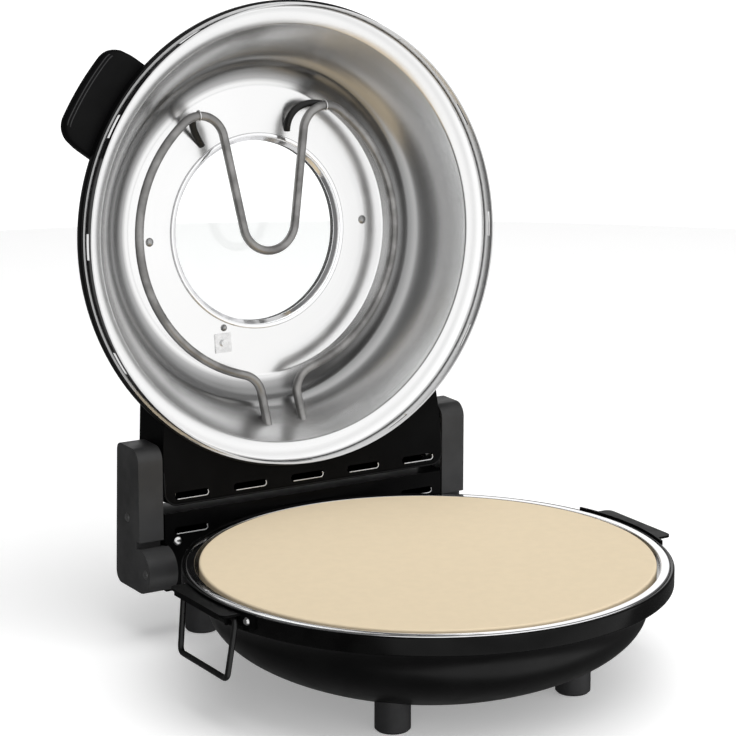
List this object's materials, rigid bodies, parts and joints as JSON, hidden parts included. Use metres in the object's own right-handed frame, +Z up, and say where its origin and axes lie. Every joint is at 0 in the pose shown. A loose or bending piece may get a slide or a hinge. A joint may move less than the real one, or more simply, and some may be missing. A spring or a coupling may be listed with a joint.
{
  "type": "electric pizza maker",
  "caption": "Round countertop pizza maker: black pressed bowl with a baking stone and wire handles, and a domed hinged lid with a glass window, a bent heating tube and a rear hinge housing.",
  "frame": {"origin": "on the table plane, under the middle of the bounding box with the lid open; the bowl's axis stands 43.1 mm in front of it", "axes": "+Z up, out of the baking stone; +X to the object's right, along the hinge; +Y to the rear, where the hinge and the cord inlet are"},
  "size_m": [0.356, 0.4203, 0.4461],
  "materials": {
    "black_enamel": "satin black enamel",
    "black_band": "gloss black enamel on pressed steel",
    "black_paint": "satin black paint on folded steel",
    "black_plastic": "fine matte black moulding",
    "dark_plastic": "matte dark grey moulding",
    "chromed": "polished chrome",
    "bright_steel": "bright rolled stainless steel",
    "reflector_steel": "polished stainless steel with a soft spun grain",
    "tube_steel": "satin grey heating tube",
    "zinc_steel": "zinc plated steel",
    "dark_screw": "black zinc plated steel",
    "wire_black": "black coated wire",
    "stone_clay": "smooth matt beige cordierite",
    "clear_glass": "clear toughened glass",
    "seal_rubber": "black heat resistant rubber",
    "white_ceramic": "unglazed white ceramic"
  },
  "bodies": {
    "base": {"base_bowl": "black_enamel", "rim_band": "black_band", "trim_ring": "chromed", "inner_pan": "bright_steel", "lower_element": "tube_steel", "lower_element_clips": "zinc_steel", "lower_element_terminals": "white_ceramic", "thermostat": "white_ceramic", "thermal_fuse": "white_ceramic", "terminal_block": "white_ceramic", "housing_saddle": "black_paint", "hinge_housing": "black_paint", "hinge_housing_cover": "black_paint", "housing_screws": "zinc_steel", "cord_gland": "black_plastic", "front_feet": "dark_plastic", "rear_feet": "dark_plastic", "foot_screws": "zinc_steel", "tower_left": "black_plastic", "tower_right": "black_plastic", "tower_screws": "dark_screw", "hinge_arms": "zinc_steel", "hinge_pins": "zinc_steel", "bracket_left": "black_paint", "bracket_right": "black_paint", "bracket_rivets": "zinc_steel"},
    "stone": {"baking_stone": "stone_clay"},
    "bail_left": {"bail_left": "wire_black"},
    "bail_right": {"bail_right": "wire_black"},
    "lid": {"lid_shell": "black_enamel", "lid_reflector": "reflector_steel", "lid_skirt": "bright_steel", "window_ring": "chromed", "window_glass": "clear_glass", "window_gasket": "seal_rubber", "upper_element": "tube_steel", "element_brackets": "wire_black", "element_terminals": "white_ceramic", "sensor_clip": "zinc_steel", "reflector_screws": "dark_screw", "reflector_spacers": "zinc_steel", "lid_housing": "black_paint", "lid_housing_cover": "black_paint", "lid_housing_screws": "zinc_steel", "hinge_bushes": "zinc_steel", "lid_handle": "black_plastic", "handle_screws": "zinc_steel"}
  },
  "joints": [
    {"name": "lid_hinge", "type": "hinge", "parent": "base", "child": "lid", "pos_m": [0, 0.13092, 0.106], "axis": [1, 0, 0], "range_deg": [0, 96.1]},
    {"name": "bail_left_hinge", "type": "hinge", "parent": "base", "child": "bail_left", "pos_m": [-0.1673, -0.04308, 0.0812], "axis": [0, 1, 0], "range_deg": [0, 79]},
    {"name": "bail_right_hinge", "type": "hinge", "parent": "base", "child": "bail_right", "pos_m": [0.1673, -0.04308, 0.0812], "axis": [0, -1, 0], "range_deg": [0, 79]},
    {"name": "stone_lift", "type": "slide", "parent": "base", "child": "stone", "axis": [0, 0, 1], "range_m": [0, 0.011]}
  ]
}
